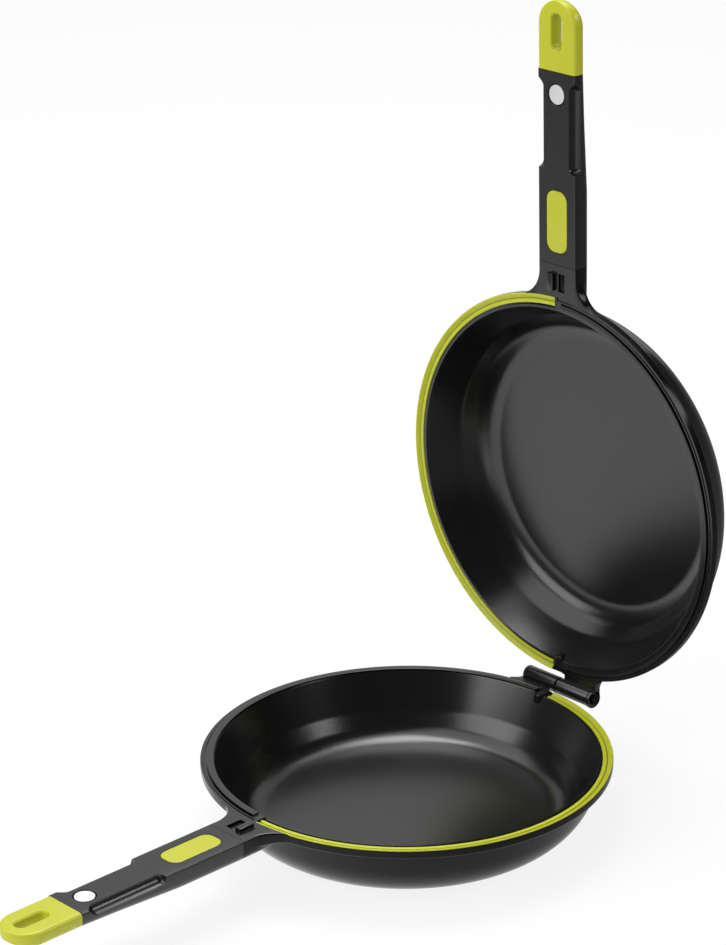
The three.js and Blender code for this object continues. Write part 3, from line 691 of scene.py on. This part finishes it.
for half in half_places:
    plug = prism(half + "_plug", plug_outline, [
        (0.3, -5.9), (0, -5.6), (0, -1.4), (0.1, -0.95), (0.35, -0.6), (0.7, -0.38), (1.2, -0.3)])
    plug.data.materials.append(plug_rubber)
    settle(plug, half)
    keep(plug, half, half + "_rim_plug")

# The hinge pin. It is drawn steel rod, blackened, and runs through the barrels of both castings.
# The solid from the frame has the right shape and stays; it only gets its finish here.

# Steel with black oxide: dark and semi-gloss, with a fine mottle
oxide, tree = start_material("steel_black_oxide")
place = add_node(tree, "ShaderNodeTexCoord").outputs["Object"]
dust = add_node(tree, "ShaderNodeTexNoise", {"Vector": place, "Scale": 900.0, "Detail": 2.0})
shade = add_node(tree, "ShaderNodeMix", {"Factor": dust.outputs["Fac"], "A": colour("#1c1d1e"),
                                         "B": colour("#2a2b2c")}, data_type="RGBA")
gloss = add_node(tree, "ShaderNodeMapRange", {"Value": dust.outputs["Fac"], "To Min": 0.3,
                                              "To Max": 0.45})
plate = add_node(tree, "ShaderNodeBsdfPrincipled", {
    "Base Color": shade.outputs["Result"], "Metallic": 1.0, "Roughness": gloss.outputs["Result"]})
add_node(tree, "ShaderNodeOutputMaterial", {"Surface": plate.outputs[0]})
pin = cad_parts["hinge_pin"]
pin.data.materials.clear()
pin.data.materials.append(oxide)

# The handle grips. Each is moulded in black phenolic over the casting's tang, flat above with
# rounded corners below, and hollowed at both edges in front of the cap for the fingers.
grip_start = seam_distance + clearance
grip_end = 275.5
grip_end_depth = 10.3
taper_start = 199.7
stub_length = 8.5
stub_half_width = 9.0
stub_bottom_z = -8.0
stub_top_z = -2.8
pad_half_length = 20.0
pad_half_width = 8.5
pad_corner = 6.5
pad_seat_z = -2.55
head_way_radius = 3.9
head_way_z = -5.15
magnet_centre = 261.3
magnet_seat_radius = 6.95
scoop_depth = 5.5
scoop_start = 212.5
scoop_finish = 271.0
scoop_rise = 3.6
scoop_blend = 7.0
tang_way_box = (-203.3, -7.8, -11.8), (-140, 7.8, -7)

# Phenolic resin, moulded: satin and near black, with a fine even grain
phenolic, tree = start_material("black_phenolic_moulded")
place = add_node(tree, "ShaderNodeTexCoord").outputs["Object"]
dust = add_node(tree, "ShaderNodeTexNoise", {"Vector": place, "Scale": 600.0, "Detail": 2.0})
shade = add_node(tree, "ShaderNodeMix", {"Factor": dust.outputs["Fac"], "A": colour("#0d0e0d"),
                                         "B": colour("#151615")}, data_type="RGBA")
bump = add_node(tree, "ShaderNodeBump", {"Height": dust.outputs["Fac"], "Strength": 0.12,
                                         "Distance": 0.0002})
gloss = add_node(tree, "ShaderNodeMapRange", {"Value": dust.outputs["Fac"], "To Min": 0.22,
                                              "To Max": 0.3})
resin = add_node(tree, "ShaderNodeBsdfPrincipled", {
    "Base Color": shade.outputs["Result"], "Roughness": gloss.outputs["Result"], "IOR": 1.6,
    "Normal": bump.outputs["Normal"]})
add_node(tree, "ShaderNodeOutputMaterial", {"Surface": resin.outputs[0]})


def grip_depth_at(distance):
    """The grip is of one depth over the pad and gets shallower towards the cap."""
    share = min(max((distance - taper_start) / (grip_end - taper_start), 0), 1)
    return grip_depth + (grip_end_depth - grip_depth) * share


def pad_outline(inset):
    """The pad seen from above: an oblong with round corners."""
    x, y, corner = pad_half_length - pad_corner, pad_half_width - pad_corner, pad_corner - inset
    points = []
    for centre_x, centre_y, start in ((x, y, 0), (-x, y, 90), (-x, -y, 180), (x, -y, 270)):
        points += arc(centre_x, centre_y, corner, start, start + 90, 10)
    return [(px - pad_centre, py) for px, py in points]


def scoop(side):
    """A long spindle that hollows one edge of the grip, blunt in front and tapered behind."""
    rise = [math.radians(90 * i / 12) for i in range(1, 13)]
    blunt = [(scoop_depth * math.sin(a), scoop_start + scoop_rise * (1 - math.cos(a)))
             for a in rise]
    tapered = [(scoop_depth * math.sin(a), scoop_finish - scoop_blend * a * 2 / math.pi)
               for a in reversed(rise)]
    turns = [2 * math.pi * i / 64 for i in range(64)]
    return skin("scoop", [
        [(-x, side * grip_half_width + r * math.cos(a), r * math.sin(a)) for a in turns]
        for r, x in ((0.02, scoop_start), *blunt, *tapered, (0.02, scoop_finish))])


for half in half_places:
    distances = [grip_start + (grip_end - grip_start) * i / 30 for i in range(31)]
    grip = skin(half + "_grip", [handle_station(d, grip_half_width, grip_depth_at(d))
                                 for d in distances])
    stub = rounded_block("stub", (-grip_end - stub_length, -stub_half_width, stub_bottom_z),
                         (-grip_end + 2, stub_half_width, stub_top_z), edge=0.4)
    combine(grip, "UNION", [stub])
    combine(grip, "DIFFERENCE", [
        prism("pad_seat", pad_outline, [(-clearance, pad_seat_z), (-clearance, 2)]),
        upright("magnet_seat", -magnet_centre, [
            (magnet_seat_radius, -4.7), (magnet_seat_radius, -0.8),
            (magnet_seat_radius + 0.25, -0.4), (magnet_seat_radius + 0.75, 0.3)]),
        scoop(1), scoop(-1), rounded_block("tang_way", *tang_way_box, edge=0.4),
        *[upright("screw_way", -pad_centre + dx, [
            (head_way_radius, head_way_z), (head_way_radius, 0)])
          for dx in (-screw_offset, screw_offset)]])
    grip.data.materials.append(phenolic)
    settle(grip, half)
    keep(grip, half, half + "_handle_grip")

# The grip screws. Two of turned steel hold each grip on its tang, and the pad covers them. The
# solids from the frame stay; they only get their finish here.

# Steel, zinc plated: a soft grey shine with a slight mottle
zinc, tree = start_material("steel_zinc_plated")
place = add_node(tree, "ShaderNodeTexCoord").outputs["Object"]
dust = add_node(tree, "ShaderNodeTexNoise", {"Vector": place, "Scale": 900.0, "Detail": 2.0})
gloss = add_node(tree, "ShaderNodeMapRange", {"Value": dust.outputs["Fac"], "To Min": 0.25,
                                              "To Max": 0.42})
plate = add_node(tree, "ShaderNodeBsdfPrincipled", {
    "Base Color": colour("#9fa2a5"), "Metallic": 1.0, "Roughness": gloss.outputs["Result"]})
add_node(tree, "ShaderNodeOutputMaterial", {"Surface": plate.outputs[0]})

for half in half_places:
    for which in ("front", "rear"):
        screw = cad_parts[half + "_grip_screw_" + which]
        screw.data.materials.clear()
        screw.data.materials.append(zinc)

# The pads. Each is a moulded lime inlay glued into its seat in the grip's face, over the screws.
# Its upper edge is softly rounded, and its face lies a little above the grip's.

# Plastic, injection moulded and dyed: satin, with a faint even grain
lime_plastic, tree = start_material("lime_plastic_moulded")
place = add_node(tree, "ShaderNodeTexCoord").outputs["Object"]
dust = add_node(tree, "ShaderNodeTexNoise", {"Vector": place, "Scale": 500.0, "Detail": 2.0})
shade = add_node(tree, "ShaderNodeMix", {"Factor": dust.outputs["Fac"], "A": colour("#b5b724"),
                                         "B": colour("#bcbe2a")}, data_type="RGBA")
bump = add_node(tree, "ShaderNodeBump", {"Height": dust.outputs["Fac"], "Strength": 0.03,
                                         "Distance": 0.0002})
gloss = add_node(tree, "ShaderNodeMapRange", {"Value": dust.outputs["Fac"], "To Min": 0.27,
                                              "To Max": 0.31})
moulding = add_node(tree, "ShaderNodeBsdfPrincipled", {
    "Base Color": shade.outputs["Result"], "Roughness": gloss.outputs["Result"], "IOR": 1.5,
    "Normal": bump.outputs["Normal"]})
add_node(tree, "ShaderNodeOutputMaterial", {"Surface": moulding.outputs[0]})

for half in half_places:
    pad = prism(half + "_pad", pad_outline, [
        (0.2, -2.25), (0, -2.05), (0, -0.65), (0.12, -0.36), (0.45, -0.2), (1.3, -0.15)])
    pad.data.materials.append(lime_plastic)
    settle(pad, half)
    keep(pad, half, half + "_pad_insert")

# The magnets. Each is a sintered disc with bright nickel plate, glued into a round seat in the
# grip's face, where it meets the other handle's magnet once the pan is closed.
magnet_radius = 6.25

# Nickel plate, tumbled: bright and white, with a soft even sheen
nickel, tree = start_material("nickel_plated_magnet")
place = add_node(tree, "ShaderNodeTexCoord").outputs["Object"]
dust = add_node(tree, "ShaderNodeTexNoise", {"Vector": place, "Scale": 800.0, "Detail": 2.0})
gloss = add_node(tree, "ShaderNodeMapRange", {"Value": dust.outputs["Fac"], "To Min": 0.55,
                                              "To Max": 0.65})
plate = add_node(tree, "ShaderNodeBsdfPrincipled", {
    "Base Color": colour("#f8f8f6"), "Metallic": 1.0, "Roughness": gloss.outputs["Result"]})
add_node(tree, "ShaderNodeOutputMaterial", {"Surface": plate.outputs[0]})

for half in half_places:
    magnet = upright(half + "_magnet_disc", -magnet_centre, [
        (magnet_radius - 0.35, -4.4), (magnet_radius, -4.05), (magnet_radius, -0.75),
        (magnet_radius - 0.05, -0.55), (magnet_radius - 0.2, -0.43),
        (magnet_radius - 0.45, -0.4)])
    magnet.data.materials.append(nickel)
    settle(magnet, half)
    keep(magnet, half, half + "_magnet")

# The end caps. Each is a moulded lime sleeve pushed over the grip's stub, well rounded at its
# edges and tip, with a slot through it to hang the pan by.
cap_start = grip_end + clearance
cap_middle = 289.0
cap_edge = 2.6
tip_start = 304.5
tip_length = 15.5
tip_depth = 5.5
tip_sweep = 84.0
slot_ends = (-307.8, -293.0)
slot_half_width = 4.0


def slot_outline(inset):
    """The hanging slot seen from above: straight sides and round ends."""
    half_width = slot_half_width - inset
    return (arc(slot_ends[0], 0, half_width, 90, 270, 16)
            + arc(slot_ends[1], 0, half_width, 270, 450, 16))


for half in half_places:
    distances = [cap_start + (cap_middle - cap_start) * i / 6 for i in range(7)]
    distances += [cap_middle + (tip_start - cap_middle) * i / 6 for i in range(1, 7)]
    stations = [(distance, grip_half_width, grip_end_depth) for distance in distances]
    for i in range(1, 25):
        turn = math.radians(tip_sweep * i / 24)
        stations.append((tip_start + tip_length * math.sin(turn), grip_half_width * math.cos(turn),
                         tip_depth + (grip_end_depth - tip_depth) * math.cos(turn)))
    cap = skin(half + "_cap", [handle_station(*station, edge=cap_edge) for station in stations])
    combine(cap, "DIFFERENCE", [
        prism("slot", slot_outline, [(-1.0, -11), (-0.2, -8), (0, -7), (0, -1.7), (-0.2, -1.05),
                                     (-0.6, -0.55), (-1.5, 0.3)]),
        rounded_block("stub_way", (-grip_end - stub_length - clearance,
                                   -stub_half_width - clearance, stub_bottom_z - clearance),
                      (-grip_end + 3, stub_half_width + clearance, stub_top_z + clearance),
                      edge=0.4)])
    cap.data.materials.append(lime_plastic)
    settle(cap, half)
    keep(cap, half, half + "_end_cap")

# The studio. A pale paper floor lies under soft lamps, with the camera at the photograph's angle.
# Mirrored in the object, that floor has painted shade at the camera's right and its far left.
floor_glow = 0.86
floor_size = 9.0

# Backdrop paper, lit from above: near white, and it keeps the object's shadow
paper, tree = start_material("white_backdrop_paper")
path = add_node(tree, "ShaderNodeLightPath")
direct = add_node(tree, "ShaderNodeMath", {
    0: path.outputs["Is Camera Ray"], 1: path.outputs["Is Transmission Ray"]},
    operation="MAXIMUM")
seen = add_node(tree, "ShaderNodeMath", {0: direct.outputs[0], 1: floor_glow},
                operation="MULTIPLY")
seen = add_node(tree, "ShaderNodeMath", {0: seen.outputs[0], 1: path.outputs["Is Glossy Ray"]},
                operation="MAXIMUM")
# Painted shade: in glossy rays the floor glows less to the camera's right and far off to its left
place = add_node(tree, "ShaderNodeTexCoord").outputs["Object"]
across = add_node(tree, "ShaderNodeVectorMath", {0: place, 1: (-0.6, 0.8, 0)},
                  operation="DOT_PRODUCT").outputs["Value"]
near_painted_shade = add_node(tree, "ShaderNodeMapRange", {
    "Value": across, "From Min": -0.3, "From Max": 0.15, "To Min": 0.2, "To Max": 1.05},
    interpolation_type="SMOOTHSTEP")
far_painted_shade = add_node(tree, "ShaderNodeMapRange", {
    "Value": across, "From Min": 0.68, "From Max": 0.95, "To Min": 1.0, "To Max": 0.4},
    interpolation_type="SMOOTHSTEP")
mirrored = add_node(tree, "ShaderNodeMath", {0: near_painted_shade.outputs[0], 1: far_painted_shade.outputs[0]},
                    operation="MULTIPLY")
glow = add_node(tree, "ShaderNodeMix", {"Factor": direct.outputs[0], "A": mirrored.outputs[0],
                                        "B": 1.0})
paper_lit = add_node(tree, "ShaderNodeBsdfDiffuse", {"Color": colour("#ededed")})
paper_white = add_node(tree, "ShaderNodeEmission", {"Color": (1, 1, 1, 1),
                                                    "Strength": glow.outputs["Result"]})
paper_mix = add_node(tree, "ShaderNodeMixShader", {
    0: seen.outputs[0], 1: paper_lit.outputs[0], 2: paper_white.outputs[0]})
add_node(tree, "ShaderNodeOutputMaterial", {"Surface": paper_mix.outputs[0]})
floor_work = bmesh.new()
bmesh.ops.create_grid(floor_work, x_segments=2, y_segments=2, size=floor_size)
floor = place_mesh("floor", floor_work)
floor.data.materials.append(paper)

# The air round the studio: a faint even light, a little stronger near the horizon
world = bpy.data.worlds.new("studio_air")
bpy.context.scene.world = world
world.use_nodes = True
tree = world.node_tree
tree.nodes.clear()
way = add_node(tree, "ShaderNodeTexCoord").outputs["Generated"]
height = add_node(tree, "ShaderNodeSeparateXYZ", {"Vector": way})
glow = add_node(tree, "ShaderNodeMapRange", {
    "Value": height.outputs["Z"], "From Min": 0.08, "From Max": 0.25, "To Min": 0.2,
    "To Max": 0.06}, interpolation_type="SMOOTHSTEP")
air = add_node(tree, "ShaderNodeBackground", {"Strength": glow.outputs["Result"]})
add_node(tree, "ShaderNodeOutputWorld", {"Surface": air.outputs[0]})


def softbox(name, place, target, width, height, power, mirrored=True):
    """A soft lamp aimed at a target; one that isn't mirrored only fills the shade."""
    lamp = bpy.data.lights.new(name, "AREA")
    lamp.shape = "RECTANGLE"
    lamp.size = width
    lamp.size_y = height
    lamp.energy = power
    made = bpy.data.objects.new(name, lamp)
    bpy.context.scene.collection.objects.link(made)
    made.location = place
    aim = Vector(target) - Vector(place)
    made.rotation_euler = aim.to_track_quat("-Z", "Y").to_euler()
    made.visible_camera = False
    made.visible_glossy = mirrored


softbox("softbox_above", (0.15, 0.85, 2.0), (0.15, 0.85, 0), 3.2, 2.4, 36)
softbox("softbox_top", (0.48, 0.5, 1.98), (0.48, 0.5, 0), 1.0, 0.9, 17)
softbox("softbox_left", (-1.67, 0.6, 1.2), (0, 0, 0.1), 1.5, 1.0, 13)
softbox("softbox_fill", (-1.7, -0.3, 1.3), (0.1, 0, 0.3), 2.0, 2.0, 19, mirrored=False)
softbox("softbox_right", (1.39, -1.25, 1.42), (0, 0, 0.05), 1.0, 0.5, 6)
softbox("softbox_front", (0.82, -1.52, 1.27), (0, 0.1, 0.03), 1.0, 0.45, 5.5)
softbox("softbox_behind", (1.75, 1.85, 1.1), (0, 0, 0.1), 3.0, 1.8, 10)

# The camera's place, turn and lens were fitted to points of the photographed object
lens = bpy.data.cameras.new("photo_camera")
lens.sensor_fit = "HORIZONTAL"
lens.sensor_width = 36
lens.lens = 165.022
lens.clip_end = 60
camera = bpy.data.objects.new("photo_camera", lens)
bpy.context.scene.collection.objects.link(camera)
right = Vector((0.7231332, -0.6905917, -0.0127082))
up = Vector((0.2642605, 0.2596202, 0.9288508))
look = Vector((0.6381573, 0.6750411, -0.3702361))
turn = Matrix((right, up, -look)).transposed().to_4x4()
camera.matrix_world = Matrix.Translation((-1.3111805, -1.3504929, 0.9866063)) @ turn
bpy.context.scene.camera = camera
bpy.context.scene.view_settings.view_transform = "Standard"

bpy.context.view_layer.update()
